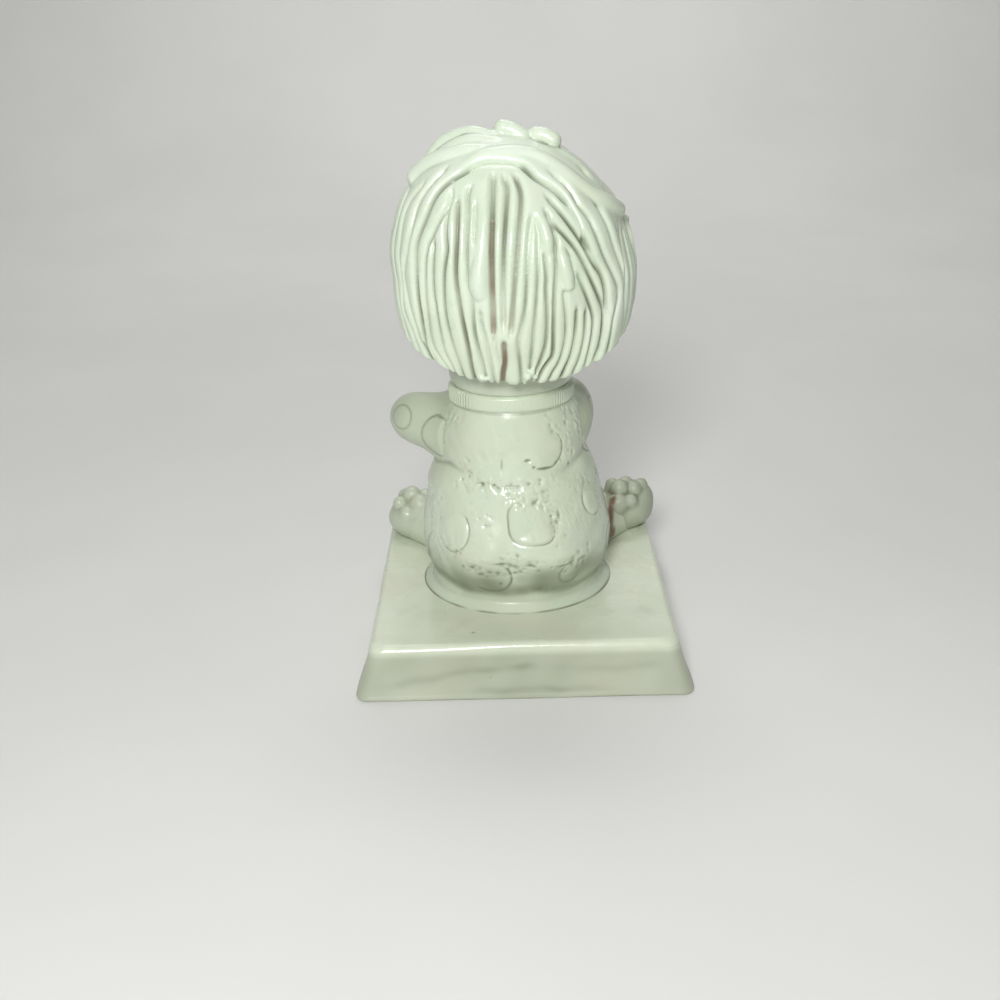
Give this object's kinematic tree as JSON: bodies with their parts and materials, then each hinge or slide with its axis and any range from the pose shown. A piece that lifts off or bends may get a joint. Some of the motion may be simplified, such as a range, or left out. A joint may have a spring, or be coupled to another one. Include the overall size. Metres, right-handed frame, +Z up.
{
  "type": "resin figurine",
  "caption": "Cast resin desk figurine of a seated child with a mop of swept strand hair, in a spotted suit, with bare feet, on a flared square plinth.",
  "frame": {"origin": "centre of the plinth's underside, on the table", "axes": "+Z up; the figure faces -Y, so +X is its left side"},
  "size_m": [0.08, 0.08, 0.1259],
  "materials": {
    "resin_plinth": "glossy cast resin, faintly mottled beige",
    "resin_suit": "glossy cast resin with a smooth clear coat",
    "resin_skin": "glossy cast resin with a smooth clear coat",
    "resin_hair": "glossy cast resin, brown dirt in the grooves"
  },
  "bodies": {
    "root": {"plinth": "resin_plinth", "torso": "resin_suit", "collar": "resin_suit", "head": "resin_skin", "hair_front": "resin_hair", "hair_crown": "resin_hair", "hair_back": "resin_hair", "left_sleeve": "resin_suit", "right_sleeve": "resin_suit", "left_hand": "resin_skin", "right_hand": "resin_skin", "left_leg": "resin_suit", "right_leg": "resin_suit", "left_foot": "resin_skin", "right_foot": "resin_skin"}
  },
  "joints": []
}
